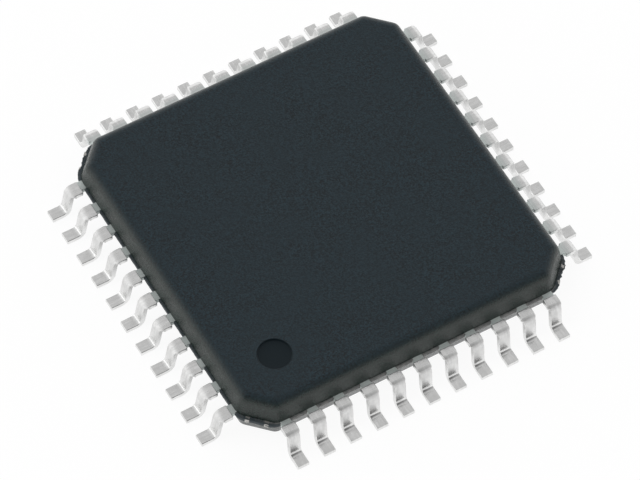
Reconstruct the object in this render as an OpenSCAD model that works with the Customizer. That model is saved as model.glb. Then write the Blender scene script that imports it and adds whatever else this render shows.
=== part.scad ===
// Low-profile quad flat pack with gull-wing leads on all four sides.
// Origin: centre of the seating plane, where the soles of the leads rest. +Z is up.
// The pin-one recess is at the corner towards -X and -Y, and the leads are numbered
// anticlockwise from there, seen from above.

/* [Moulded body] */
// Side of the square body at the parting line
body_side = 9.95; // [9.8:0.05:10.1]
// Height of the body from its underside to its top face
body_thick = 1.4; // [1.35:0.01:1.45]
// Gap between the seating plane and the underside of the body
standoff = 0.12; // [0.05:0.01:0.15]
// Depth of the lower mould half, from the underside up to the leadframe
lower_half = 0.635; // [0.6:0.005:0.66]
// Leg of each 45 degree corner cut at the parting line
corner_cut = 0.76; // [0.7:0.02:0.84]
// Radius of the upright edges beside the corner cuts, at the parting line
side_edge_r = 0.4; // [0.2:0.05:0.5]
// Lean of the moulded sides from the vertical, in degrees
draft_angle = 14; // [5:1:15]
// Radius of the edge round the top face
top_edge_r = 0.3; // [0.1:0.01:0.35]
// Radius of the edge round the underside
bottom_edge_r = 0.15; // [0.05:0.01:0.2]
// How far the trimmed resin web stands out between the leads
web_out = 0.05; // [0.02:0.005:0.08]
// How far the resin web stands out at the corner cuts
corner_web_out = 0.09; // [0.04:0.01:0.12]

/* [Marks in the body] */
// Diameter of the pin-one recess
mark_d = 0.95; // [0.5:0.05:1.2]
// Depth of the pin-one recess
mark_depth = 0.06; // [0.02:0.01:0.1]
// Distance of the recess's centre from the two sides of the body
mark_inset = 1.55; // [1.4:0.01:2]
// Diameter of the ejector pin marks in the underside
ejector_d = 1; // [0.6:0.1:1.4]
// Depth of the ejector pin marks
ejector_depth = 0.03; // [0.01:0.01:0.05]
// Distance of the ejector pin marks from the two nearest sides
ejector_inset = 1.9; // [1.6:0.1:2.4]

/* [Leads] */
// Number of leads on each side
leads_per_side = 11; // [5:1:11]
// Distance between the centres of neighbouring leads
lead_pitch = 0.8; // [0.7:0.01:0.8]
// Distance between the tips of opposite leads
lead_span = 12; // [11.8:0.1:12.4]
// Thickness of the leadframe
lead_t = 0.13; // [0.1:0.01:0.15]
// Width of a lead over its leg and foot
lead_w = 0.34; // [0.3:0.01:0.38]
// Width of a lead where it leaves the body
root_w = 0.3; // [0.26:0.01:0.34]
// Width over the stubs that the dam-bar punch leaves
stub_w = 0.41; // [0.38:0.01:0.46]
// Distance from the body to the dam-bar stubs
stub_gap = 0.14; // [0.12:0.01:0.16]
// Length of the dam-bar stubs, which reach over the knee bend
stub_len = 0.285; // [0.25:0.005:0.29]
// How far the dam-bar punch sat off the leads on the side towards -X
stub_shift = 0.03; // [0:0.005:0.03]
// Length of the flat shoulder, from the body to the knee bend
shoulder_len = 0.305; // [0.295:0.005:0.33]
// Inside radius of the knee bend
knee_r = 0.09; // [0.08:0.01:0.12]
// Inside radius of the heel bend
heel_r = 0.13; // [0.1:0.01:0.15]
// Lean of the leg from the vertical, in degrees
leg_tilt = 9; // [4:1:12]

/* [Inner fingers] */
// Distance of the finger tips from the centre of the package
finger_end = 3.05; // [2.95:0.05:3.2]
// Distance between the centres of neighbouring finger tips
finger_pitch = 0.46; // [0.42:0.01:0.48]
// Width of a finger at its tip
finger_tip_w = 0.2; // [0.16:0.01:0.24]
// Distance from the centre at which the fingers start to fan in
fan_start = 4.5; // [4.4:0.05:4.6]

/* [Die pad] */
// Side of the square die pad
pad_side = 5.4; // [4.6:0.1:5.5]
// How far the pad is sunk below the leadframe
pad_drop = 0.2; // [0.1:0.01:0.3]
// Width of the tie bars
tie_w = 0.2; // [0.14:0.01:0.24]
// Run of the sloping step in each tie bar
tie_step = 0.3; // [0.2:0.02:0.4]
// Distance of the fork in each tie bar from the corner cut, along the diagonal
fork_len = 0.46; // [0.44:0.01:0.5]
// Distance of each fork arm's cut end from the diagonal
fork_out = 0.26; // [0.24:0.01:0.28]
// Width of a fork arm
fork_arm_w = 0.12; // [0.08:0.01:0.14]
// How far the cut ends of the tie bars stand out of the resin
tie_end_out = 0.02; // [0.01:0.005:0.04]

/* [Die and wires] */
// Side of the square silicon die
die_side = 3.2; // [2.6:0.1:3.6]
// Thickness of the silicon die
die_t = 0.28; // [0.2:0.01:0.3]
// Thickness of the adhesive under the die
attach_t = 0.025; // [0.015:0.005:0.04]
// How far the adhesive shows round the die
attach_fillet = 0.06; // [0.02:0.01:0.12]
// Diameter of the bond wires
wire_d = 0.03; // [0.02:0.005:0.035]
// Diameter of the ball bonds on the die
ball_d = 0.08; // [0.06:0.005:0.1]
// Height of the ball bonds
ball_h = 0.015; // [0.01:0.005:0.03]
// Distance between the ball bonds
bond_pitch = 0.26; // [0.2:0.01:0.27]
// Distance of the ball bonds from the edge of the die
bond_inset = 0.1; // [0.06:0.01:0.16]
// Straight rise of a wire above its ball bond
wire_neck = 0.06; // [0.04:0.01:0.08]
// Radius of the bend at the top of a wire
wire_bend_r = 0.08; // [0.06:0.01:0.1]
// Diameter of the stitch bonds on the fingers
stitch_d = 0.08; // [0.06:0.005:0.1]
// Height of the stitch bonds
stitch_h = 0.012; // [0.008:0.001:0.015]
// Distance of the stitch bonds from the finger tips
stitch_inset = 0.14; // [0.1:0.01:0.2]

/* [Hidden] */
$fn = 48;

side_names = ["s", "e", "n", "w"];
lead_total = len(side_names) * leads_per_side;
middle_lead = (leads_per_side - 1) / 2;

function lead_name(number) = str("lead_", number < 10 ? "0" : "", number);
function wire_name(side) = str("bond_wires_", side_names[side]);

// Heights above the seating plane
frame_bottom = standoff + lower_half;
frame_top = frame_bottom + lead_t;
body_top = standoff + body_thick;
pad_bottom = frame_bottom - pad_drop;
pad_top = pad_bottom + lead_t;
attach_top = pad_top + attach_t;
die_top = attach_top + die_t;

// Distances from the centre
body_half = body_side / 2;
corner_half = (body_side - corner_cut) / sqrt(2);
stub_start = body_half + stub_gap;
stub_end = stub_start + stub_len;
knee_x = body_half + shoulder_len;
tip_x = lead_span / 2;

// A cut that only has to pass right through, or start outside, a solid
overcut = 1;

// The leg of a lead is straight between its two bends. Its length follows from the
// height that it has to come down.
bend_reach = knee_r + lead_t + heel_r;
knee_z = frame_bottom - knee_r;
heel_z = heel_r + lead_t;
leg_len = (knee_z - heel_z + bend_reach * sin(leg_tilt)) / cos(leg_tilt);
heel_x = knee_x + bend_reach * cos(leg_tilt) + leg_len * sin(leg_tilt);

// ---------------------------------------------------------------- moulded body

// Length of edge that a fillet of radius r takes up next to a drafted side
function fillet_run(r) = r * tan((90 - draft_angle) / 2);

// Half width of a drafted mould half at its far face
function drafted(half, depth) = half - depth * tan(draft_angle);

// Upright section through the body, half wide at the parting line
module body_section(half) {
    top_half = drafted(half, body_top - frame_top);
    bottom_half = drafted(half, lower_half);
    top_run = fillet_run(top_edge_r);
    bottom_run = fillet_run(bottom_edge_r);
    for (flip = [0, 1])
        mirror([flip, 0]) {
            polygon([
                [0, standoff],
                [bottom_half - bottom_run, standoff],
                [bottom_half + bottom_run * sin(draft_angle), standoff + bottom_run * cos(draft_angle)],
                [half, frame_bottom],
                [half, frame_top],
                [top_half + top_run * sin(draft_angle), body_top - top_run * cos(draft_angle)],
                [top_half - top_run, body_top],
                [0, body_top]
            ]);
            translate([top_half - top_run, body_top - top_edge_r]) circle(top_edge_r);
            translate([bottom_half - bottom_run, standoff + bottom_edge_r]) circle(bottom_edge_r);
        }
}

// Half width of the outline across one of its directions, moved out at the sides and at the
// corner cuts. Between a side and a corner cut a narrow face stands for the rounded edge.
function outline_half(turn, side_out, cut_out) =
    let(side = body_half + side_out, cut = corner_half + cut_out)
    turn % 90 == 0 ? side :
    turn % 45 == 0 ? cut :
    side * cos(22.5) + (cut * sqrt(2) - side) * sin(22.5) - side_edge_r * (1 / cos(22.5) - 1);

// The body without its marks: one upright prism for each direction of its outline
module body_blank() {
    intersection_for(turn = [0 : 22.5 : 157.5])
        rotate([90, 0, turn])
            linear_extrude(height = 2 * body_side, center = true)
                body_section(outline_half(turn, 0, 0));
}

// The resin that filled the gaps of the leadframe and was trimmed close to the body
module resin_web() {
    translate([0, 0, frame_bottom])
        linear_extrude(height = lead_t)
            intersection_for(turn = [0 : 22.5 : 67.5])
                rotate(turn)
                    square(2 * outline_half(turn, web_out, corner_web_out), center = true);
}

module pin_one_recess() {
    translate([mark_inset - body_half, mark_inset - body_half, body_top - mark_depth])
        cylinder(h = mark_depth + overcut, d = mark_d);
}

module ejector_marks() {
    for (x = [-1, 1], y = [-1, 1])
        translate([x * (body_half - ejector_inset), y * (body_half - ejector_inset), standoff - overcut])
            cylinder(h = ejector_depth + overcut, d = ejector_d);
}

module mould_body() {
    color([0.18, 0.2, 0.215])
        difference() {
            union() {
                body_blank();
                resin_web();
            }
            pin_one_recess();
            ejector_marks();
            for (number = [1 : lead_total]) lead_metal(number);
            pad_metal();
            attach_layer();
            die_block();
            for (side = [0 : len(side_names) - 1]) side_wires(side);
        }
}

// ----------------------------------------------------------------------- leads

// Turns a shape that points along +X to the given side of the package
module to_side(side) {
    rotate(90 * side - 90) children();
}

// Part of a bent strip: the ring between the inside radius and the outside radius,
// from one angle to another
module bend(inside_r, from, to) {
    reach = 2 * (inside_r + lead_t);
    intersection() {
        difference() {
            circle(inside_r + lead_t);
            circle(inside_r);
        }
        polygon([
            [0, 0],
            reach * [cos(from), sin(from)],
            reach * [cos((from + to) / 2), sin((from + to) / 2)],
            reach * [cos(to), sin(to)]
        ]);
    }
}

// Side view of a lead outside the body, with X outwards and Y up. Each stretch is drawn from
// the end of the one before, as the strip is bent.
module gull_wing() {
    translate([stub_start, frame_bottom]) square([knee_x - stub_start, lead_t]);
    translate([knee_x, knee_z]) {
        bend(knee_r, leg_tilt, 90);
        rotate(leg_tilt) {
            translate([knee_r, -leg_len]) square([lead_t, leg_len]);
            translate([bend_reach, -leg_len]) {
                bend(heel_r, 180, 270 - leg_tilt);
                rotate(-leg_tilt)
                    translate([0, -heel_r - lead_t]) square([tip_x - heel_x, lead_t]);
            }
        }
    }
}

// Plan of the finger of the lead that stands place pitches from the middle of its side
module finger_plan(place) {
    root_y = place * lead_pitch;
    tip_y = place * finger_pitch;
    polygon([
        [stub_start, root_y - root_w / 2],
        [stub_start, root_y + root_w / 2],
        [fan_start, root_y + root_w / 2],
        [finger_end, tip_y + finger_tip_w / 2],
        [finger_end, tip_y - finger_tip_w / 2],
        [fan_start, root_y - root_w / 2]
    ]);
}

module lead_metal(number) {
    side = floor((number - 1) / leads_per_side);
    place = (number - 1) % leads_per_side - middle_lead;
    to_side(side) {
        translate([0, 0, frame_bottom])
            linear_extrude(height = lead_t) finger_plan(place);
        translate([0, place * lead_pitch, 0])
            rotate([90, 0, 0])
                linear_extrude(height = lead_w, center = true) gull_wing();
        translate([0, place * lead_pitch + (side == 3 ? stub_shift : 0), 0])
            rotate([90, 0, 0])
                linear_extrude(height = stub_w, center = true)
                    intersection() {
                        gull_wing();
                        square([stub_end, frame_top + overcut]);
                    }
    }
}

module lead(number) {
    color([0.74, 0.75, 0.75]) lead_metal(number);
}

// --------------------------------------------------------------------- die pad

// Side view of a tie bar along its diagonal: sunk pad level, sloping step, leadframe level
module tie_bar_side_view() {
    pad_corner = pad_side / sqrt(2);
    step_start = pad_corner;
    step_end = step_start + tie_step;
    polygon([
        [pad_corner - tie_w, pad_bottom],
        [step_start, pad_bottom],
        [step_end, frame_bottom],
        [corner_half - fork_len, frame_bottom],
        [corner_half - fork_len, frame_top],
        [step_end, frame_top],
        [step_start, pad_top],
        [pad_corner - tie_w, pad_top]
    ]);
}

// Plan of the fork that ends a tie bar at the corner cut
module fork_plan() {
    split = corner_half - fork_len;
    straight = (split + corner_half) / 2;
    cut_end = corner_half + corner_web_out + tie_end_out;
    for (flip = [0, 1])
        mirror([0, flip])
            polygon([
                [split, 0],
                [split, tie_w / 2],
                [straight, fork_out + fork_arm_w / 2],
                [cut_end, fork_out + fork_arm_w / 2],
                [cut_end, fork_out - fork_arm_w / 2],
                [straight, fork_out - fork_arm_w / 2],
                [split + tie_w / 2, 0]
            ]);
}

module pad_metal() {
    translate([-pad_side / 2, -pad_side / 2, pad_bottom])
        cube([pad_side, pad_side, lead_t]);
    for (turn = [45 : 90 : 315])
        rotate(turn) {
            rotate([90, 0, 0])
                linear_extrude(height = tie_w, center = true) tie_bar_side_view();
            translate([0, 0, frame_bottom])
                linear_extrude(height = lead_t) fork_plan();
        }
}

module die_pad() {
    color([0.7, 0.68, 0.64]) pad_metal();
}

// ------------------------------------------------------------ die and its wires

module attach_layer() {
    attach_side = die_side + 2 * attach_fillet;
    translate([-attach_side / 2, -attach_side / 2, pad_top])
        cube([attach_side, attach_side, attach_t]);
}

module die_attach() {
    color([0.62, 0.62, 0.6]) attach_layer();
}

module die_block() {
    translate([-die_side / 2, -die_side / 2, attach_top])
        cube([die_side, die_side, die_t]);
}

module silicon_die() {
    color([0.35, 0.38, 0.45]) die_block();
}

// A wire rises straight from its ball bond, bends over and runs straight down to its stitch
// bond, run along X and drop below the top of the neck. It leaves the bend at the slope at
// which the straight just meets the stitch.
module wire(run, drop, neck) {
    across = run - wire_bend_r;
    slope = atan2(drop, across) + asin(wire_bend_r / norm([across, drop]));
    straight = (across - wire_bend_r * sin(slope)) / cos(slope);
    cylinder(h = neck, d = wire_d);
    translate([wire_bend_r, 0, neck])
        rotate([90, 0, 0]) {
            rotate([0, 0, 90 - slope])
                rotate_extrude(angle = 90 + slope)
                    translate([wire_bend_r, 0]) circle(d = wire_d);
            rotate([0, 0, 90 - slope])
                translate([wire_bend_r, 0, 0])
                    rotate([90, 0, 0]) cylinder(h = straight, d = wire_d);
        }
}

// The bonds and the wire of the lead that stands place pitches from the middle of its side
module bonded_wire(place) {
    ball = [die_side / 2 - bond_inset, place * bond_pitch];
    fan = place * (lead_pitch - finger_pitch) / (fan_start - finger_end);
    stitch = [finger_end + stitch_inset, place * finger_pitch + fan * stitch_inset];
    neck_top = die_top + ball_h + wire_neck;
    translate([ball.x, ball.y, die_top]) {
        cylinder(h = ball_h, d = ball_d);
        rotate(atan2(stitch.y - ball.y, stitch.x - ball.x))
            wire(norm(stitch - ball), neck_top - frame_top - wire_d / 2, ball_h + wire_neck);
    }
    translate([stitch.x, stitch.y, frame_top])
        cylinder(h = stitch_h, d = stitch_d);
}

module side_wires(side) {
    to_side(side)
        for (place = [-middle_lead : middle_lead]) bonded_wire(place);
}

module bond_wires(side) {
    color([0.9, 0.72, 0.3]) side_wires(side);
}

// ----------------------------------------------------------------------- parts

mould_body();
die_pad();
die_attach();
silicon_die();
for (side = [0 : len(side_names) - 1])
    bond_wires(side);
for (number = [1 : lead_total])
    lead(number);
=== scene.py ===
"""Quad flat pack chip: a moulded body with a pin-one recess, forty-four gull-wing leads and what is sealed inside.

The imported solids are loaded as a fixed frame. The body and the leads are modelled again round it with their
edge radii, sheared faces and trimmed resin, and every part gets its finish.
"""

import math

import bmesh
import bpy
from bpy.props import FloatProperty, FloatVectorProperty, IntProperty, PointerProperty
from mathutils import Matrix, Vector, noise


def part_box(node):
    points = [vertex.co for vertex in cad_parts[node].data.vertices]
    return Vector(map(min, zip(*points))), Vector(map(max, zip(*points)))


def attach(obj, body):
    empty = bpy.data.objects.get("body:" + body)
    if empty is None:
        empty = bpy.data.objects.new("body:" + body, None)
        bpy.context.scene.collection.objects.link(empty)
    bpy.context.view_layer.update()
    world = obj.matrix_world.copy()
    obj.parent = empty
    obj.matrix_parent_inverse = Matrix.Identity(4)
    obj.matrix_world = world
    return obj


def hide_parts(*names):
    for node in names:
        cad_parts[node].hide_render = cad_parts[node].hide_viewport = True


bl_info = {
    "name": "Quad Flat Pack Chip",
    "version": (1, 0, 0),
    "blender": (4, 5, 0),
    "location": "3D View > Sidebar > Chip",
    "description": "Moulded body, gull-wing leads and sealed parts of a quad flat pack chip",
    "category": "Object",
}

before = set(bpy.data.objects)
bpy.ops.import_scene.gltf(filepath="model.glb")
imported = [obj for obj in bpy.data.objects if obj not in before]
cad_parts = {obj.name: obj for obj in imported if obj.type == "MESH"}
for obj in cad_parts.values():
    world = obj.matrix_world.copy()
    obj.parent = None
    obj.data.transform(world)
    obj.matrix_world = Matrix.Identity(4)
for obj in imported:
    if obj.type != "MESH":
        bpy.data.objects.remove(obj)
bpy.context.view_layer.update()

MM = 0.001
SIDES = 4
body_low, body_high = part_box("mould_body")
pad_low, pad_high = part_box("die_pad")
attach_low, attach_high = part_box("die_attach")
lead_names = sorted(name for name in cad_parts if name.startswith("lead_"))
wire_names = sorted(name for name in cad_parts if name.startswith("bond_wires_"))
leads_per_side = len(lead_names) // SIDES
first_low, first_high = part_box(lead_names[0])
second_low, second_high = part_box(lead_names[1])
middle_low, middle_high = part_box(lead_names[leads_per_side // 2])

METAL = attach_low.z - pad_low.z
LEADFRAME_TOP = middle_high.z
LEADFRAME_BOTTOM = LEADFRAME_TOP - METAL


def length(name, description, default):
    """A size in metres that a user may change."""
    return FloatProperty(
        name=name, description=description, default=default, min=0.0, precision=6, unit="LENGTH", subtype="DISTANCE"
    )


def angle(name, description, degrees):
    """An angle that a user may change."""
    return FloatProperty(
        name=name, description=description, default=math.radians(degrees), unit="ROTATION", subtype="ANGLE"
    )


def share(name, description, default):
    """A number from 0 to 1 that a user may change."""
    return FloatProperty(name=name, description=description, default=default, min=0.0, max=1.0, subtype="FACTOR")


def colour(name, description, default):
    """A linear colour that a user may change."""
    return FloatVectorProperty(
        name=name, description=description, default=default, size=3, min=0.0, max=1.0, subtype="COLOR"
    )


# ---------------------------------------------------------------- settings


class ChipBodySettings(bpy.types.PropertyGroup):
    """Sizes of the moulded body."""

    side: length("Side", "Side of the square body at the parting line", 9.95 * MM)
    corner_cut: length("Corner cut", "Leg of each corner cut at the parting line", 0.76 * MM)
    corner_radius: length("Corner radius", "Radius of the upright edges beside the corner cuts", 0.4 * MM)
    draft: angle("Draft", "Lean of the moulded sides from the vertical", 14)
    top_radius: length("Top edge radius", "Radius of the edge round the top face", 0.3 * MM)
    bottom_radius: length("Bottom edge radius", "Radius of the edge round the underside", 0.15 * MM)
    web_drop: length("Web drop", "How far the trimmed resin lies below the top of the leads", 0.005 * MM)
    corner_web: length("Corner web", "How far the trimmed resin stands out at the corner cuts", 0.115 * MM)
    corner_cover: length("Corner cover", "Height of the resin over the tie bars at the corner cuts", 0.012 * MM)
    web_chips: length("Web chips", "Depth of the broken places along the trimmed resin", 0.008 * MM)
    corner_chips: length("Corner chips", "Depth of the broken places at the corner cuts", 0.085 * MM)
    neat_corners: share("Neat corners", "Share of that depth at the pin-one corner and the one across", 0.22)
    mark_diameter: length("Pin-one recess", "Diameter of the pin-one recess", 0.95 * MM)
    mark_depth: length("Recess depth", "Depth of the pin-one recess", 0.06 * MM)
    mark_inset: length("Recess inset", "Distance of the recess from the two sides of the body", 1.55 * MM)
    ejector_diameter: length("Ejector mark", "Diameter of the ejector pin marks in the underside", 1.0 * MM)
    ejector_depth: length("Ejector mark depth", "Depth of the ejector pin marks", 0.03 * MM)
    ejector_inset: length("Ejector mark inset", "Distance of the ejector pin marks from two sides", 1.9 * MM)


class ChipLeadSettings(bpy.types.PropertyGroup):
    """Sizes of the leads."""

    leg_width: length("Leg width", "Width of a lead over its leg and foot", 0.34 * MM)
    root_width: length("Root width", "Width of a lead where it leaves the body", 0.3 * MM)
    stub_gap: length("Stub gap", "Distance from the body to the dam-bar stubs", 0.14 * MM)
    stub_end: length("Stub end", "Distance from the body to the far end of the dam-bar stubs", 0.425 * MM)
    stub_shift: length("Stub shift", "How far the dam-bar punch sat off the leads on the side at -X", 0.03 * MM)
    shoulder: length("Shoulder", "Length of the flat shoulder from the body to the knee bend", 0.305 * MM)
    knee_radius: length("Knee radius", "Inside radius of the knee bend", 0.09 * MM)
    heel_radius: length("Heel radius", "Inside radius of the heel bend", 0.13 * MM)
    leg_tilt: angle("Leg tilt", "Lean of the leg from the vertical", 9)
    finger_width: length("Finger width", "Width of a finger at its inner tip", 0.2 * MM)
    finger_pitch: length("Finger pitch", "Distance between neighbouring finger tips", 0.46 * MM)
    fan_start: length("Fan start", "Distance from the centre at which the fingers start to fan in", 4.5 * MM)
    far_stain: share("Far stain", "How far the stain of the lead roots reaches over the stubs at +X and +Y", 0.8)
    rolled_edge: length("Rolled edge", "Radius of the upper edges, which the punch rolls over", 0.022 * MM)
    burred_edge: length("Burred edge", "Radius of the lower edges", 0.008 * MM)


class ChipFinishSettings(bpy.types.PropertyGroup):
    """Colours of the finishes."""

    resin: colour("Resin", "Dark moulded resin", (0.0070, 0.0188, 0.0262))
    resin_side: colour("Resin sides", "Smoother resin of the drafted sides", (0.0085, 0.0170, 0.0140))
    resin_sheared: colour("Sheared resin", "Resin where the punch has broken it", (0.20, 0.20, 0.195))
    tin: colour("Tin plate", "Satin tin plate", (0.81, 0.81, 0.805))
    root: colour("Lead root", "Stained metal beside the body", (0.76, 0.81, 0.795))
    alloy: colour("Leadframe", "Bare nickel-iron alloy", (0.48, 0.47, 0.45))
    adhesive: colour("Adhesive", "Silver-filled adhesive", (0.42, 0.41, 0.39))
    silicon: colour("Silicon", "Polished silicon", (0.20, 0.22, 0.27))
    gold: colour("Gold", "Gold wire", (0.94, 0.66, 0.24))


class ChipStageSettings(bpy.types.PropertyGroup):
    """The studio and the camera."""

    world_level: FloatProperty(name="World", description="Level of the even light all round", default=0.65)
    horizon_level: FloatProperty(
        name="Horizon", description="Level of the bright band round the horizon", default=1.3
    )
    glow_level: FloatProperty(name="Side glow", description="Level added on the side at -X", default=0.18)
    shade_level: FloatProperty(name="Shade", description="Level taken away on the side at -Y", default=0.5)
    key_level: FloatProperty(name="Key", description="Level of the large soft lamp overhead", default=1.6)
    azimuth: angle("Azimuth", "Direction of the camera round the chip", -33.41)
    elevation: angle("Elevation", "Height of the camera above the horizon", 56.80)
    roll: angle("Roll", "Turn of the camera about its line of sight", 3.52)
    distance: length("Distance", "Distance of the camera", 142.006 * MM)
    focal_length: FloatProperty(
        name="Focal length", description="Focal length on a 36 mm sensor", default=298.92, unit="CAMERA"
    )
    aim_x: FloatProperty(
        name="Aim X", description="Point that the camera looks at", default=-0.0541 * MM, unit="LENGTH"
    )
    aim_y: FloatProperty(
        name="Aim Y", description="Point that the camera looks at", default=-0.1250 * MM, unit="LENGTH"
    )


# ---------------------------------------------------------------- materials


class NodeBuilder:
    """Lays out the nodes of one material."""

    def __init__(self, name):
        self.material = bpy.data.materials.new(name)
        self.material.use_nodes = True
        self.tree = self.material.node_tree
        self.tree.nodes.clear()
        self.output = self.add("ShaderNodeOutputMaterial")

    def add(self, kind, **settings):
        node = self.tree.nodes.new(kind)
        for key, value in settings.items():
            setattr(node, key, value)
        return node

    def link(self, source, target):
        self.tree.links.new(source, target)

    def shader(self, **sockets):
        """The surface shader, with constant values on its own sockets."""
        node = self.add("ShaderNodeBsdfPrincipled")
        for key, value in sockets.items():
            node.inputs[key.replace("_", " ")].default_value = value
        self.link(node.outputs["BSDF"], self.output.inputs["Surface"])
        return node

    def millimetres(self):
        """Coordinates on the object in millimetres."""
        place = self.add("ShaderNodeTexCoord")
        scale = self.add("ShaderNodeMapping")
        scale.inputs["Scale"].default_value = (1 / MM, 1 / MM, 1 / MM)
        self.link(place.outputs["Object"], scale.inputs["Vector"])
        return scale.outputs["Vector"]

    def stretched(self, vector, scale):
        node = self.add("ShaderNodeMapping")
        node.inputs["Scale"].default_value = scale
        self.link(vector, node.inputs["Vector"])
        return node.outputs["Vector"]

    def noise(self, vector, scale, detail=2.0, roughness=0.5):
        node = self.add("ShaderNodeTexNoise")
        node.inputs["Scale"].default_value = scale
        node.inputs["Detail"].default_value = detail
        node.inputs["Roughness"].default_value = roughness
        self.link(vector, node.inputs["Vector"])
        return node.outputs["Fac"]

    def cells(self, vector, scale):
        node = self.add("ShaderNodeTexVoronoi")
        node.inputs["Scale"].default_value = scale
        self.link(vector, node.inputs["Vector"])
        return node.outputs["Distance"]

    def spread(self, value, from_low, from_high, to_low, to_high):
        """Maps a value from one range to another, held at the ends."""
        node = self.add("ShaderNodeMapRange")
        for key, number in (
            ("From Min", from_low),
            ("From Max", from_high),
            ("To Min", to_low),
            ("To Max", to_high),
        ):
            node.inputs[key].default_value = number
        self.link(value, node.inputs["Value"])
        return node.outputs["Result"]

    def maths(self, operation, first, second):
        node = self.add("ShaderNodeMath", operation=operation)
        for socket, value in zip(node.inputs, (first, second)):
            if isinstance(value, (int, float)):
                socket.default_value = value
            else:
                self.link(value, socket)
        return node.outputs["Value"]

    def blend(self, factor, first, second):
        """Mixes two colours, each a plain colour or the output of a node."""
        node = self.add("ShaderNodeMix", data_type="RGBA")
        sockets = [s for s in node.inputs if s.type == "RGBA"]
        for socket, value in zip(sockets, (first, second)):
            if isinstance(value, bpy.types.NodeSocket):
                self.link(value, socket)
            else:
                socket.default_value = (*value, 1.0)
        self.link(factor, node.inputs["Factor"])
        return next(s for s in node.outputs if s.type == "RGBA")

    def attribute(self, name, output="Fac"):
        node = self.add("ShaderNodeAttribute", attribute_name=name)
        return node.outputs[output]

    def bump(self, height, depth, strength=1.0):
        node = self.add("ShaderNodeBump")
        node.inputs["Strength"].default_value = strength
        node.inputs["Distance"].default_value = depth
        self.link(height, node.inputs["Height"])
        return node.outputs["Normal"]


def shaded(tint, factor):
    return tuple(min(1.0, part * factor) for part in tint)


def resin_material(finish):
    """Silica-filled resin with the fine texture of a spark-eroded mould."""
    nodes = NodeBuilder("mould_resin")
    place = nodes.millimetres()
    shader = nodes.shader()
    grain = nodes.noise(place, 22.0, 3.0, 0.6)
    specks = nodes.noise(place, 45.0, 2.0)
    cloud = nodes.noise(place, 0.9, 3.0)
    tint = nodes.blend(
        nodes.spread(grain, 0.34, 0.66, 0.0, 1.0), shaded(finish.resin, 0.2), shaded(finish.resin, 1.8)
    )
    tint = nodes.blend(nodes.spread(cloud, 0.35, 0.65, 0.0, 0.5), tint, shaded(finish.resin, 1.12))
    side = nodes.attribute("drafted_side")
    side_tint = nodes.blend(
        nodes.spread(grain, 0.34, 0.66, 0.0, 1.0), shaded(finish.resin_side, 0.3), shaded(finish.resin_side, 1.7)
    )
    nodes.link(nodes.blend(side, tint, side_tint), shader.inputs["Base Color"])
    rough = nodes.spread(specks, 0.3, 0.7, 0.38, 0.54)
    nodes.link(nodes.maths("SUBTRACT", rough, nodes.maths("MULTIPLY", side, 0.24)), shader.inputs["Roughness"])
    gloss = nodes.maths("ADD", 0.35, nodes.maths("MULTIPLY", side, 0.16))
    nodes.link(gloss, shader.inputs["Specular IOR Level"])
    height = nodes.maths("ADD", nodes.maths("MULTIPLY", grain, 0.7), nodes.maths("MULTIPLY", specks, 0.3))
    nodes.link(nodes.bump(height, 0.02 * MM), shader.inputs["Normal"])
    return nodes.material


def mark_material(finish):
    """Resin moulded against the polished end of a pin."""
    nodes = NodeBuilder("polished_resin")
    place = nodes.millimetres()
    shader = nodes.shader(Specular_IOR_Level=0.2)
    grain = nodes.noise(place, 30.0, 2.0)
    nodes.link(
        nodes.blend(grain, shaded(finish.resin, 0.45), shaded(finish.resin, 0.75)), shader.inputs["Base Color"]
    )
    nodes.link(nodes.spread(grain, 0.3, 0.7, 0.42, 0.5), shader.inputs["Roughness"])
    nodes.link(nodes.bump(grain, 0.003 * MM), shader.inputs["Normal"])
    return nodes.material


def sheared_resin_material(finish):
    """Resin that the trim punch has broken, pale with crushed filler. How much of it is pale is painted higher on the
    side at -Y, a painted sheen, and lower on the other sides, a painted shade.
    """
    nodes = NodeBuilder("sheared_resin")
    place = nodes.millimetres()
    shader = nodes.shader(Roughness=0.75, Specular_IOR_Level=0.4)
    scores = nodes.noise(nodes.stretched(place, (1.0, 1.0, 0.25)), 26.0, 4.0, 0.7)
    broken = nodes.noise(place, 9.0, 3.0, 0.6)
    pale = nodes.attribute("pale_and_painted_sheen")
    # This share of pale broken resin is not wear. It carries the painted sheen on the side at -Y and the painted
    # shade on the other sides, broken up by noise.
    worn = nodes.maths("MULTIPLY", pale, nodes.spread(broken, 0.35, 0.6, 0.55, 1.0))
    fresh = nodes.blend(scores, shaded(finish.resin_sheared, 0.75), shaded(finish.resin_sheared, 1.3))
    nodes.link(nodes.blend(worn, shaded(finish.resin, 1.3), fresh), shader.inputs["Base Color"])
    nodes.link(nodes.spread(scores, 0.3, 0.7, 0.6, 0.85), shader.inputs["Roughness"])
    nodes.link(nodes.bump(scores, 0.01 * MM), shader.inputs["Normal"])
    return nodes.material


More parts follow.
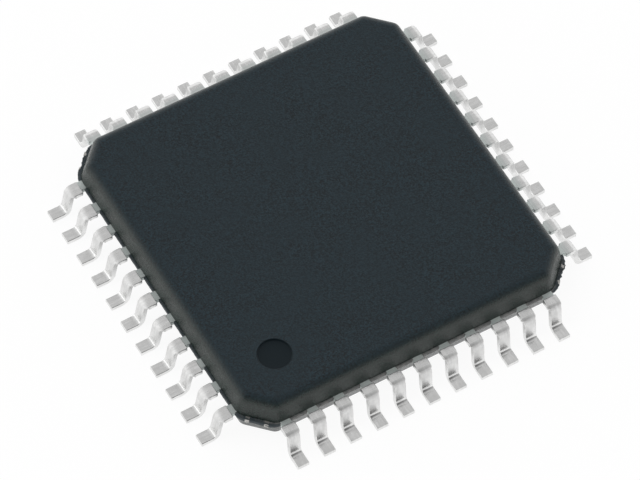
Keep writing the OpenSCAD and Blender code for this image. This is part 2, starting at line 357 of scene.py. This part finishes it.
def tin_material(finish):
    """Satin tin plate, with stained metal beside the body and dull punched edges."""
    nodes = NodeBuilder("tin_plate")
    place = nodes.attribute("strip_place", "Vector")
    shader = nodes.shader(Metallic=1.0, Specular_IOR_Level=0.5)
    grain = nodes.noise(place, 34.0, 3.0, 0.6)
    streaks = nodes.noise(nodes.stretched(place, (2.2, 16.0, 1.0)), 1.0, 3.0, 0.6)
    patches = nodes.noise(place, 4.0, 2.0)
    root = nodes.attribute("root_stain")
    cut = nodes.attribute("punched")
    plated = nodes.blend(
        nodes.spread(streaks, 0.3, 0.7, 0.0, 1.0), shaded(finish.tin, 0.88), shaded(finish.tin, 1.08)
    )
    plated = nodes.blend(nodes.spread(patches, 0.4, 0.65, 0.0, 0.6), plated, shaded(finish.tin, 0.86))
    stained = nodes.blend(grain, shaded(finish.root, 0.8), shaded(finish.root, 1.15))
    tint = nodes.blend(root, plated, stained)
    edge = nodes.maths("MULTIPLY", nodes.spread(root, 0.05, 0.45, 0.0, 1.0), nodes.spread(root, 0.55, 0.95, 1.0, 0.0))
    tint = nodes.blend(nodes.maths("MULTIPLY", edge, 0.3), tint, shaded(finish.root, 0.5))
    nodes.link(tint, shader.inputs["Base Color"])
    rough = nodes.spread(grain, 0.3, 0.7, 0.16, 0.26)
    rough = nodes.maths("ADD", rough, nodes.maths("MULTIPLY", nodes.attribute("stretched"), 0.36))
    rough = nodes.maths("ADD", rough, nodes.maths("MULTIPLY", root, 0.42))
    rough = nodes.maths("ADD", rough, nodes.maths("MULTIPLY", cut, 0.10))
    nodes.link(rough, shader.inputs["Roughness"])
    height = nodes.maths("ADD", grain, nodes.maths("MULTIPLY", streaks, nodes.maths("ADD", cut, 0.6)))
    nodes.link(nodes.bump(height, 0.0022 * MM), shader.inputs["Normal"])
    return nodes.material


def alloy_material(finish):
    """Rolled nickel-iron alloy with faint rolling lines."""
    nodes = NodeBuilder("leadframe_alloy")
    place = nodes.millimetres()
    shader = nodes.shader(Metallic=1.0)
    rolling = nodes.noise(nodes.stretched(place, (1.0, 14.0, 1.0)), 4.0, 3.0, 0.6)
    grain = nodes.noise(place, 30.0, 2.0)
    nodes.link(
        nodes.blend(rolling, shaded(finish.alloy, 0.85), shaded(finish.alloy, 1.15)), shader.inputs["Base Color"]
    )
    nodes.link(nodes.spread(grain, 0.3, 0.7, 0.28, 0.4), shader.inputs["Roughness"])
    nodes.link(nodes.bump(grain, 0.002 * MM), shader.inputs["Normal"])
    return nodes.material


def adhesive_material(finish):
    """Cured adhesive with silver flakes."""
    nodes = NodeBuilder("silver_adhesive")
    place = nodes.millimetres()
    shader = nodes.shader(Metallic=0.6)
    flakes = nodes.cells(place, 40.0)
    nodes.link(
        nodes.blend(flakes, shaded(finish.adhesive, 0.7), shaded(finish.adhesive, 1.3)), shader.inputs["Base Color"]
    )
    nodes.link(nodes.spread(flakes, 0.0, 1.0, 0.4, 0.65), shader.inputs["Roughness"])
    nodes.link(nodes.bump(flakes, 0.002 * MM), shader.inputs["Normal"])
    return nodes.material


def silicon_material(finish):
    """Polished silicon with faint saw marks."""
    nodes = NodeBuilder("silicon")
    place = nodes.millimetres()
    shader = nodes.shader(Metallic=0.5, Specular_IOR_Level=0.8)
    saw = nodes.noise(nodes.stretched(place, (1.0, 1.0, 30.0)), 3.0, 2.0)
    nodes.link(
        nodes.blend(saw, shaded(finish.silicon, 0.9), shaded(finish.silicon, 1.1)), shader.inputs["Base Color"]
    )
    nodes.link(nodes.spread(saw, 0.3, 0.7, 0.12, 0.2), shader.inputs["Roughness"])
    nodes.link(nodes.bump(saw, 0.0005 * MM), shader.inputs["Normal"])
    return nodes.material


def gold_material(finish):
    """Drawn gold wire."""
    nodes = NodeBuilder("gold_wire")
    place = nodes.millimetres()
    shader = nodes.shader(Metallic=1.0)
    grain = nodes.noise(place, 60.0, 2.0)
    nodes.link(nodes.blend(grain, shaded(finish.gold, 0.92), shaded(finish.gold, 1.05)), shader.inputs["Base Color"])
    nodes.link(nodes.spread(grain, 0.3, 0.7, 0.16, 0.24), shader.inputs["Roughness"])
    nodes.link(nodes.bump(grain, 0.0005 * MM), shader.inputs["Normal"])
    return nodes.material


def material(make):
    """The material that a function makes, made once."""
    made = bpy.data.materials.get(make.__name__)
    if made is None:
        made = make(bpy.context.scene.chip_finish)
        made.name = make.__name__
    return made


# ---------------------------------------------------------------- mesh helpers


def add_ring(mesh, points):
    return [mesh.verts.new(point) for point in points]


def join_rings(mesh, lower, upper, slot=0):
    """A band of quads between two closed rings with as many points."""
    faces = []
    for first in range(len(lower)):
        after = (first + 1) % len(lower)
        face = mesh.faces.new((lower[first], lower[after], upper[after], upper[first]))
        face.material_index = slot
        faces.append(face)
    return faces


def ring_edges(mesh, ring):
    return [
        mesh.edges.get((ring[i], ring[(i + 1) % len(ring)])) or mesh.edges.new((ring[i], ring[(i + 1) % len(ring)]))
        for i in range(len(ring))
    ]


def fill_flat(mesh, rings, up):
    """Fills the flat area inside the first ring and outside the others."""
    edges = [edge for ring in rings for edge in ring_edges(mesh, ring)]
    made = bmesh.ops.triangle_fill(mesh, use_beauty=True, use_dissolve=False, edges=edges)
    for face in (part for part in made["geom"] if isinstance(part, bmesh.types.BMFace)):
        if face.normal.z * up < 0:
            face.normal_flip()


def finish_mesh(mesh, name, materials, sharp_degrees=38.0):
    """Turns a bmesh into an object with smooth faces and sharp edges where they meet steeply."""
    for face in mesh.faces:
        face.smooth = True
    mesh.normal_update()
    data = bpy.data.meshes.new(name)
    mesh.to_mesh(data)
    mesh.free()
    data.set_sharp_from_angle(angle=math.radians(sharp_degrees))
    for each in materials:
        data.materials.append(each)
    made = bpy.data.objects.new(name, data)
    bpy.context.scene.collection.objects.link(made)
    return made


def circle(centre, radius, height, count):
    turn = 2 * math.pi / count
    return [
        (centre[0] + radius * math.cos(i * turn), centre[1] + radius * math.sin(i * turn), height)
        for i in range(count)
    ]


# ---------------------------------------------------------------- moulded body

SIDE_STEPS = 180
CUT_STEPS = 20
ARC_STEPS = 8
EIGHTH = math.pi / 4
# Smallest radius of the upright edges
LEAST_RADIUS = 0.05 * MM
# Width of the narrow band of faces that borders each flat face
SEAM = 0.01 * MM
# The two corners beside the pin-one corner are torn: their resin stands out further and is thicker
TORN_REACH = 0.02 * MM
TORN_COVER = 1.6
# Depth below the leadframe's top from which the resin rises over the tie bars
COVER_FROM = 0.03 * MM
# Height below the top face over which the finish changes to that of the drafted sides
SIDE_FADE = 0.12 * MM
MARK_STEPS = 96


class BodyOutline:
    """The body's outline at the parting line: a square with cut corners and rounded upright edges."""

    def __init__(self, sizes):
        self.half = sizes.side / 2
        self.corner_half = (sizes.side - sizes.corner_cut) / math.sqrt(2)
        self.radius = sizes.corner_radius

    def points(self, out_sides, out_corners=None):
        """Points along the outline moved outwards, each (x, y, outward direction, share of corner cut)."""
        if out_corners is None:
            out_corners = out_sides
        found = []
        for side in range(8):
            here = self.half + out_sides if side % 2 == 0 else self.corner_half + out_corners
            after = self.corner_half + out_corners if side % 2 == 0 else self.half + out_sides
            before = after
            radius = max(self.radius + min(out_sides, out_corners), LEAST_RADIUS)
            start = self.vertex(side - 1, before, here, radius)
            end = self.vertex(side, here, after, radius)
            facing = side * EIGHTH
            outward = Vector((math.cos(facing), math.sin(facing)))
            steps = SIDE_STEPS if side % 2 == 0 else CUT_STEPS
            cornered = side % 2
            for step in range(steps):
                spot = start.lerp(end, step / steps) + outward * radius
                found.append((spot.x, spot.y, outward, cornered))
            for step in range(ARC_STEPS):
                part = step / ARC_STEPS
                turned = facing + EIGHTH * part
                outward_here = Vector((math.cos(turned), math.sin(turned)))
                spot = end + outward_here * radius
                found.append((spot.x, spot.y, outward_here, part if cornered == 0 else 1 - part))
        return found

    def vertex(self, side, here, after, radius):
        """Centre of the rounding between a side and the next one."""
        facing = side * EIGHTH
        first = Vector((math.cos(facing), math.sin(facing)))
        along = Vector((-first.y, first.x))
        reach = ((after - radius) - (here - radius) * math.cos(EIGHTH)) / math.sin(EIGHTH)
        return first * (here - radius) + along * reach


def fillet(radius, draft, steps):
    """Points of the fillet between an upright drafted side and a level face, as (inwards, downwards)
    from the point where the two would meet."""
    run = radius * math.tan((math.pi / 2 - draft) / 2)
    swing = math.pi / 2 - draft
    found = []
    for step in range(steps + 1):
        turned = draft + swing * step / steps
        found.append((run - radius * math.cos(turned), radius - radius * math.sin(turned)))
    return found


def body_profile(sizes):
    """(inset, height) from the parting line down to the underside, and from it up to the top face."""
    lean = math.tan(sizes.draft)
    upper = body_high.z - LEADFRAME_TOP
    lower = LEADFRAME_BOTTOM - body_low.z
    top = [(upper * lean + into, body_high.z - down) for into, down in fillet(sizes.top_radius, sizes.draft, 9)]
    bottom = [(lower * lean + into, body_low.z + down) for into, down in fillet(sizes.bottom_radius, sizes.draft, 6)]
    return bottom, top


def build_body(sizes):
    """The closed outer shell of the body, with its trimmed resin web, recess and ejector marks."""
    outline = BodyOutline(sizes)
    web_out = body_high.x - outline.half
    bottom, top = body_profile(sizes)
    mesh = bmesh.new()
    pale_and_painted_sheen = mesh.verts.layers.float.new("pale_and_painted_sheen")
    drafted_side = mesh.verts.layers.float.new("drafted_side")

    def level(inset, height):
        return add_ring(mesh, [(x, y, height) for x, y, _, _ in outline.points(-inset)])

    def web_level(share_out, height, seed):
        """A ring of the trimmed web, with the broken places that the punch left."""
        ring = []
        for x, y, outward, cornered in outline.points(web_out, sizes.corner_web):
            spot = Vector((x, y, height)) / MM
            torn_corner = x * y < 0
            torn = sizes.corner_chips * (1.0 if torn_corner else sizes.neat_corners)
            depth = sizes.web_chips + (torn - sizes.web_chips) * cornered
            coarse = noise.noise(Vector((spot.x * 5, spot.y * 5, seed)))
            fine = noise.noise(Vector((spot.x * 17, spot.y * 17, seed + 7.5)))
            corner_reach = sizes.corner_web + (TORN_REACH if torn_corner else 0.0)
            reach = web_out + (corner_reach - web_out) * cornered
            moved = share_out * reach - reach + depth * (0.6 * coarse + 0.6 * fine - 0.35)
            rise = depth * 0.5 * noise.noise(Vector((spot.x * 9, spot.y * 9, seed + 31)))
            cover = sizes.corner_cover * cornered * (TORN_COVER if torn_corner else 1.0)
            if height <= LEADFRAME_TOP - COVER_FROM:
                cover = 0.0
            vert = mesh.verts.new((x + outward.x * moved, y + outward.y * moved, height + cover - abs(rise)))
            ring.append(vert)
        return ring

    underside = level(bottom[-1][0] + SEAM, bottom[-1][1])
    ring = underside
    for inset, height in reversed(bottom):
        after = level(inset, height)
        join_rings(mesh, ring, after)
        ring = after
    after = level(0.0, LEADFRAME_BOTTOM)
    join_rings(mesh, ring, after)
    ring = after
    web_top = LEADFRAME_TOP - sizes.web_drop
    # Share of the web's reach, height and seed of the chips, from the web's lower edge to its upper one
    rows = [
        (0.9, LEADFRAME_BOTTOM + 0.01 * MM, 1.0),
        (1.0, LEADFRAME_BOTTOM + 0.035 * MM, 2.0),
        (1.0, (LEADFRAME_BOTTOM + web_top) / 2, 3.0),
        (1.0, web_top - 0.02 * MM, 4.0),
        (0.88, web_top, 5.0),
    ]
    for share_out, height, seed in rows:
        after = web_level(share_out, height, seed)
        join_rings(mesh, ring, after, 1)
        ring = after
    after = add_ring(
        mesh,
        [
            (x, y, web_top + (sizes.corner_cover * cornered if x * y < 0 else 0.0))
            for x, y, _, cornered in outline.points(0.0)
        ],
    )
    join_rings(mesh, ring, after, 1)
    ring = after
    for inset, height in top:
        after = level(inset, height)
        join_rings(mesh, ring, after)
        ring = after
    upside = level(top[-1][0] + SEAM, body_high.z)
    join_rings(mesh, ring, upside)

    # The pale share of the trimmed web is low at the corners and over most of the web. Towards the side at -Y it is
    # raised as a painted sheen, which leaves the other sides in painted shade.
    for vert in mesh.verts:
        at_corner = abs(vert.co.x) + abs(vert.co.y) > 2 * outline.half - sizes.corner_cut
        front_sheen = max(0.0, -vert.co.y / outline.half) ** 8
        vert[pale_and_painted_sheen] = 0.2 if at_corner else 0.25 + 0.75 * front_sheen
        vert[drafted_side] = min(1.0, max(0.0, (body_high.z - vert.co.z) / SIDE_FADE))

    mark = (sizes.mark_inset - outline.half, sizes.mark_inset - outline.half)
    fill_flat(mesh, [upside, build_dish(mesh, mark, sizes.mark_diameter, sizes.mark_depth, body_high.z, -1)], 1)
    spread_out = outline.half - sizes.ejector_inset
    dishes = [
        build_dish(mesh, (x * spread_out, y * spread_out), sizes.ejector_diameter, sizes.ejector_depth, body_low.z, 1)
        for x in (-1, 1)
        for y in (-1, 1)
    ]
    fill_flat(mesh, [underside, *dishes], -1)
    return mesh


def build_dish(mesh, centre, diameter, depth, height, into):
    """A round recess with a soft rim and a rounded foot. Returns the ring that bounds it on the flat face."""
    soft = depth / 3
    rim = diameter / 2
    wall = rim - soft
    rings = [(rim + SEAM, 0.0), (rim, 0.0)]
    for step in range(1, 5):
        turned = math.pi / 2 * step / 4
        rings.append((rim - soft * math.sin(turned), soft - soft * math.cos(turned)))
    for step in range(5):
        turned = math.pi / 2 * step / 4
        rings.append((wall - soft + soft * math.cos(turned), depth - soft + soft * math.sin(turned)))
    rings.append((diameter / 4, depth))
    made = [add_ring(mesh, circle(centre, radius, height + into * down, MARK_STEPS)) for radius, down in rings]
    for index, (outer, inner) in enumerate(zip(made, made[1:])):
        slot = 0 if index == 0 else 2
        if into < 0:
            join_rings(mesh, outer, inner, slot)
        else:
            join_rings(mesh, inner, outer, slot)
    last = made[-1] if into < 0 else list(reversed(made[-1]))
    face = mesh.faces.new(last)
    face.material_index = 2
    return made[0]


# ---------------------------------------------------------------- bent strips

KNEE_STEPS = 16
HEEL_STEPS = 14
# Turn of the knee over which a lead narrows from its stubs to its leg
STUB_TAPER = 0.35
LEAST_EDGE = 0.002 * MM
# Size of the worn edge at the ends of a lead
END_WEAR = 0.008 * MM
# Where the stain begins inside the body, and the steps of the stub's near end
STAIN_START = 0.1 * MM
STUB_BEFORE = 0.014 * MM
STUB_SHEAR = 0.002 * MM
STUB_FULL = 0.012 * MM
STUB_ROUNDING = 0.01 * MM


def rounded_section(width, thickness, upper_radius, lower_radius, steps=4):
    """Section of a punched strip, anticlockwise seen along it: (across, up, how far it faces sideways)."""
    found = []
    corners = (
        (width / 2, thickness / 2, upper_radius, 0),
        (-width / 2, thickness / 2, upper_radius, 1),
        (-width / 2, -thickness / 2, lower_radius, 2),
        (width / 2, -thickness / 2, lower_radius, 3),
    )
    for across, up, radius, quarter in corners:
        centre = (across - math.copysign(radius, across), up - math.copysign(radius, up))
        for step in range(steps + 1):
            turned = (quarter + step / steps) * math.pi / 2
            sideways = abs(math.cos(turned))
            found.append((centre[0] + radius * math.cos(turned), centre[1] + radius * math.sin(turned), sideways))
    return found


class Station:
    """A place along a bent strip: where its middle is, how far it leans down, how wide it is, how much
    smaller its section is at a worn end, and how stained and how stretched its metal is there."""

    def __init__(self, out, height, lean, width, across=0.0, shrink=0.0, stain=0.0, stretch=0.0):
        self.out = out
        self.height = height
        self.lean = lean
        self.width = width
        self.across = across
        self.shrink = shrink
        self.stain = stain
        self.stretch = stretch


def sweep_strip(mesh, stations, edges, place_of, seed):
    """A solid strip through the stations. place_of turns (out, across, height) into a point of the package."""
    strip_place = mesh.verts.layers.float_vector.new("strip_place")
    root_stain = mesh.verts.layers.float.new("root_stain")
    punched = mesh.verts.layers.float.new("punched")
    stretched = mesh.verts.layers.float.new("stretched")
    rings = []
    travelled = 0.0
    for index, station in enumerate(stations):
        if index:
            last = stations[index - 1]
            travelled += math.hypot(station.out - last.out, station.height - last.height)
        width = station.width - 2 * station.shrink
        thickness = METAL - 2 * station.shrink
        upper = max(edges[0] - station.shrink, LEAST_EDGE)
        lower = max(edges[1] - station.shrink, LEAST_EDGE)
        ring = []
        for across, up, sideways in rounded_section(width, thickness, upper, lower):
            out = station.out + up * math.sin(station.lean)
            height = station.height + up * math.cos(station.lean)
            vert = mesh.verts.new(place_of(out, station.across + across, height))
            vert[strip_place] = Vector((travelled / MM, across / MM, up / MM + seed))
            vert[root_stain] = station.stain
            vert[stretched] = station.stretch
            vert[punched] = 1.0 if sideways > 0.9 else 0.0
            ring.append(vert)
        rings.append(ring)
    for lower_ring, upper_ring in zip(rings, rings[1:]):
        join_rings(mesh, lower_ring, upper_ring)
    mesh.faces.new(list(reversed(rings[0])))
    mesh.faces.new(rings[-1])


def gull_wing_stations(sizes, place, half, stub_shift, stub_stain):
    """The stations of the lead that stands place pitches from the middle of its side."""
    pitch = second_low.x - first_low.x
    root_across = place * pitch
    tip_across = place * sizes.finger_pitch
    middle = (LEADFRAME_BOTTOM + LEADFRAME_TOP) / 2
    finger_end = -middle_high.y
    tip = -middle_low.y
    stub_width = middle_high.x - middle_low.x
    stub_across = root_across + stub_shift
    stub_start = half + sizes.stub_gap
    found = [
        Station(finger_end, middle, 0, sizes.finger_width, tip_across, END_WEAR),
        Station(finger_end + END_WEAR, middle, 0, sizes.finger_width, tip_across),
        Station(sizes.fan_start, middle, 0, sizes.root_width, root_across),
        Station(half - STAIN_START, middle, 0, sizes.root_width, root_across, stain=1.0),
        Station(stub_start - STUB_BEFORE, middle, 0, sizes.root_width, root_across, stain=1.0),
        Station(stub_start + STUB_SHEAR, middle, 0, stub_width - STUB_ROUNDING, stub_across, stain=0.5),
        Station(stub_start + STUB_FULL, middle, 0, stub_width, stub_across, stain=stub_stain),
    ]
    knee_out = half + sizes.shoulder
    knee_height = LEADFRAME_BOTTOM - sizes.knee_radius
    leg_angle = math.pi / 2 - sizes.leg_tilt
    bend_reach = sizes.knee_radius + METAL + sizes.heel_radius
    heel_height = sizes.heel_radius + METAL
    leg = (knee_height - heel_height + bend_reach * math.sin(sizes.leg_tilt)) / math.cos(sizes.leg_tilt)
    heel_out = knee_out + bend_reach * math.cos(sizes.leg_tilt) + leg * math.sin(sizes.leg_tilt)
    knee_middle = sizes.knee_radius + METAL / 2
    heel_middle = sizes.heel_radius + METAL / 2
    stub_turn = math.asin((sizes.stub_end - sizes.shoulder) / (sizes.knee_radius + METAL))
    for step in range(KNEE_STEPS + 1):
        lean = leg_angle * step / KNEE_STEPS
        part = min(1.0, max(0.0, (lean - stub_turn) / STUB_TAPER))
        part = part * part * (3 - 2 * part)
        width = stub_width + (sizes.leg_width - stub_width) * part
        across = stub_across + (root_across - stub_across) * part
        found.append(
            Station(
                knee_out + knee_middle * math.sin(lean),
                knee_height + knee_middle * math.cos(lean),
                lean,
                width,
                across,
                stretch=min(1.0, 2 * step / KNEE_STEPS),
            )
        )
    for step in range(HEEL_STEPS + 1):
        lean = leg_angle * (1 - step / HEEL_STEPS)
        found.append(
            Station(
                heel_out - heel_middle * math.sin(lean),
                heel_height - heel_middle * math.cos(lean),
                lean,
                sizes.leg_width,
                root_across,
            )
        )
    foot = METAL / 2
    found += [
        Station(tip - END_WEAR, foot, 0, sizes.leg_width, root_across),
        Station(tip, foot, 0, sizes.leg_width, root_across, END_WEAR * 0.5),
    ]
    return found


def side_placer(side):
    """Turns (out, across, height) into a point of the package, for the side at -Y turned side quarters."""
    turned = side * math.pi / 2
    cos, sin = round(math.cos(turned)), round(math.sin(turned))

    def place(out, across, height):
        x, y = across, -out
        return (x * cos - y * sin, x * sin + y * cos, height)

    return place


def build_lead(sizes, number, half):
    side, order = divmod(number, leads_per_side)
    place = order - (leads_per_side - 1) / 2
    mesh = bmesh.new()
    edges = (sizes.rolled_edge, sizes.burred_edge)
    shift = sizes.stub_shift if side == SIDES - 1 else 0.0
    stain = sizes.far_stain if side in (1, 2) else 0.0
    stations = gull_wing_stations(sizes, place, half, shift, stain)
    sweep_strip(mesh, stations, edges, side_placer(side), seed=number * 3.7)
    return mesh


# ---------------------------------------------------------------- operators


class CHIP_OT_moulded_body(bpy.types.Operator):
    """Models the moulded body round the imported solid"""

    bl_idname = "chip.moulded_body"
    bl_label = "Moulded Body"

    def execute(self, context):
        mesh = build_body(context.scene.chip_body)
        finishes = [material(resin_material), material(sheared_resin_material), material(mark_material)]
        body = finish_mesh(mesh, "moulded_body", finishes)
        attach(body, "root")
        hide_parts("mould_body")
        return {"FINISHED"}


class CHIP_OT_leads(bpy.types.Operator):
    """Models the gull-wing leads, one piece for each packed lead"""

    bl_idname = "chip.leads"
    bl_label = "Leads"

    def execute(self, context):
        half = context.scene.chip_body.side / 2
        for number, name in enumerate(lead_names):
            mesh = build_lead(context.scene.chip_leads, number, half)
            lead = finish_mesh(mesh, "plated_" + name, [material(tin_material)], 50.0)
            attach(lead, "root")
            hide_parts(name)
        return {"FINISHED"}


class CHIP_OT_sealed_parts(bpy.types.Operator):
    """Gives the die pad, the die, its adhesive and its wires their finishes"""

    bl_idname = "chip.sealed_parts"
    bl_label = "Sealed Parts"

    def execute(self, context):
        finishes = {
            "die_pad": alloy_material,
            "die_attach": adhesive_material,
            "silicon_die": silicon_material,
            **{name: gold_material for name in wire_names},
        }
        for name, make in finishes.items():
            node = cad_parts[name]
            node.data.materials.clear()
            node.data.materials.append(material(make))
        return {"FINISHED"}


class CHIP_OT_stage(bpy.types.Operator):
    """Sets up the pale floor, the soft lamps and the camera"""

    bl_idname = "chip.stage"
    bl_label = "Stage"

    def execute(self, context):
        settings = context.scene.chip_stage
        make_floor()
        make_world(settings)
        for lamp in LAMPS:
            make_lamp(settings, *lamp)
        make_camera(settings)
        context.scene.view_settings.view_transform = "Standard"
        return {"FINISHED"}


# ---------------------------------------------------------------- stage

FLOOR_HALF = 0.4
# The floor lies a hair below the soles of the leads
FLOOR_GAP = 0.003 * MM
# Sines of the elevations between which the bright band round the horizon fades
HORIZON_BAND = (0.28, 0.48)
# Middles of the glow and of the shade, and how near to them each begins and is full
GLOW_TOWARDS = (-0.84, 0.50, 0.20)
GLOW_BAND = (0.40, 0.95)
SHADE_TOWARDS = (-0.36, -0.78, 0.50)
SHADE_BAND = (0.42, 0.82)
# Name, azimuth, elevation, distance, width, height, level
LAMPS = (
    ("key", -110.0, 62.0, 0.30, 0.16, 0.16, "key_level"),
)


def make_floor():
    nodes = NodeBuilder("studio_floor")
    paper = nodes.add("ShaderNodeBsdfDiffuse")
    paper.inputs["Color"].default_value = (0.10, 0.10, 0.10, 1.0)
    glow = nodes.add("ShaderNodeEmission")
    glow.inputs["Strength"].default_value = 0.925
    both = nodes.add("ShaderNodeAddShader")
    nodes.link(paper.outputs["BSDF"], both.inputs[0])
    nodes.link(glow.outputs["Emission"], both.inputs[1])
    nodes.link(both.outputs["Shader"], nodes.output.inputs["Surface"])
    mesh = bmesh.new()
    ring = add_ring(mesh, circle((0, 0), FLOOR_HALF, -FLOOR_GAP, 64))
    mesh.faces.new(ring)
    floor = finish_mesh(mesh, "studio_floor", [nodes.material])


def make_world(settings):
    world = bpy.data.worlds.new("studio_world")
    bpy.context.scene.world = world
    world.use_nodes = True
    tree = world.node_tree
    tree.nodes.clear()
    output = tree.nodes.new("ShaderNodeOutputWorld")
    even = tree.nodes.new("ShaderNodeBackground")
    place = tree.nodes.new("ShaderNodeTexCoord")
    split = tree.nodes.new("ShaderNodeSeparateXYZ")
    tree.links.new(place.outputs["Generated"], split.inputs["Vector"])
    nearness = []
    for middle in (GLOW_TOWARDS, SHADE_TOWARDS):
        towards = tree.nodes.new("ShaderNodeVectorMath")
        towards.operation = "DOT_PRODUCT"
        towards.inputs[1].default_value = middle
        tree.links.new(place.outputs["Generated"], towards.inputs[0])
        nearness.append(towards.outputs["Value"])
    glow, shade = nearness
    level = None
    for source, span, low, high in (
        (split.outputs["Z"], HORIZON_BAND, settings.horizon_level, settings.world_level),
        (glow, GLOW_BAND, 0.0, settings.glow_level),
        (shade, SHADE_BAND, 0.0, -settings.shade_level),
    ):
        band = tree.nodes.new("ShaderNodeMapRange")
        band.interpolation_type = "SMOOTHSTEP"
        for key, number in zip(("From Min", "From Max", "To Min", "To Max"), (*span, low, high)):
            band.inputs[key].default_value = number
        tree.links.new(source, band.inputs["Value"])
        if level is None:
            level = band.outputs["Result"]
            continue
        total = tree.nodes.new("ShaderNodeMath")
        tree.links.new(level, total.inputs[0])
        tree.links.new(band.outputs["Result"], total.inputs[1])
        level = total.outputs["Value"]
    tree.links.new(level, even.inputs["Strength"])
    white = tree.nodes.new("ShaderNodeBackground")
    path = tree.nodes.new("ShaderNodeLightPath")
    choose = tree.nodes.new("ShaderNodeMixShader")
    for background in (even, white):
        background.inputs["Color"].default_value = (1.0, 1.0, 1.0, 1.0)
    tree.links.new(path.outputs["Is Camera Ray"], choose.inputs["Fac"])
    tree.links.new(even.outputs["Background"], choose.inputs[1])
    tree.links.new(white.outputs["Background"], choose.inputs[2])
    tree.links.new(choose.outputs["Shader"], output.inputs["Surface"])


def direction(azimuth, elevation):
    return Vector(
        (
            math.sin(azimuth) * math.cos(elevation),
            -math.cos(azimuth) * math.cos(elevation),
            math.sin(elevation),
        )
    )


def make_lamp(settings, name, azimuth, elevation, distance, width, height, level):
    """A square soft lamp. Its level is the brightness of its face, where 1 is white."""
    lamp = bpy.data.lights.new(name + "_lamp", "AREA")
    lamp.shape = "RECTANGLE"
    lamp.size = width
    lamp.size_y = height
    lamp.energy = getattr(settings, level) * math.pi * width * height
    made = bpy.data.objects.new(name + "_lamp", lamp)
    bpy.context.scene.collection.objects.link(made)
    towards = direction(math.radians(azimuth), math.radians(elevation))
    made.location = towards * distance
    made.rotation_mode = "QUATERNION"
    made.rotation_quaternion = towards.to_track_quat("Z", "Y")
    made.visible_camera = False
    made.visible_glossy = False


def make_camera(settings):
    back = direction(settings.azimuth, settings.elevation)
    right = Vector((math.cos(settings.azimuth), math.sin(settings.azimuth), 0.0))
    up = back.cross(right)
    turned_right = right * math.cos(settings.roll) + up * math.sin(settings.roll)
    turned_up = up * math.cos(settings.roll) - right * math.sin(settings.roll)
    data = bpy.data.cameras.new("camera")
    data.sensor_width = 36.0
    data.lens = settings.focal_length
    data.clip_start = settings.distance / 10
    data.clip_end = settings.distance * 20
    camera = bpy.data.objects.new("camera", data)
    bpy.context.scene.collection.objects.link(camera)
    spot = Vector((settings.aim_x, settings.aim_y, 0.0)) + back * settings.distance
    turn = Matrix((turned_right, turned_up, back)).transposed()
    camera.matrix_world = Matrix.Translation(spot) @ turn.to_4x4()
    bpy.context.scene.camera = camera


# ---------------------------------------------------------------- panel and registration


class CHIP_PT_panel(bpy.types.Panel):
    """Lists the steps that dress the chip and their settings"""

    bl_idname = "CHIP_PT_panel"
    bl_label = "Quad Flat Pack Chip"
    bl_space_type = "VIEW_3D"
    bl_region_type = "UI"
    bl_category = "Chip"

    def draw(self, context):
        for operator, group in STEPS:
            box = self.layout.box()
            box.operator(operator.bl_idname)
            if group:
                settings = getattr(context.scene, group)
                for name in settings.__annotations__:
                    box.prop(settings, name)


STEPS = (
    (CHIP_OT_moulded_body, "chip_body"),
    (CHIP_OT_leads, "chip_leads"),
    (CHIP_OT_sealed_parts, "chip_finish"),
    (CHIP_OT_stage, "chip_stage"),
)
GROUPS = {
    "chip_body": ChipBodySettings,
    "chip_leads": ChipLeadSettings,
    "chip_finish": ChipFinishSettings,
    "chip_stage": ChipStageSettings,
}
CLASSES = (*GROUPS.values(), *(operator for operator, _ in STEPS), CHIP_PT_panel)


def register():
    for each in CLASSES:
        bpy.utils.register_class(each)
    for name, group in GROUPS.items():
        setattr(bpy.types.Scene, name, PointerProperty(type=group))


def unregister():
    for name in GROUPS:
        delattr(bpy.types.Scene, name)
    for each in reversed(CLASSES):
        bpy.utils.unregister_class(each)


def main():
    register()
    bpy.ops.chip.moulded_body()
    bpy.ops.chip.leads()
    bpy.ops.chip.sealed_parts()
    bpy.ops.chip.stage()


if __name__ == "__main__":
    main()
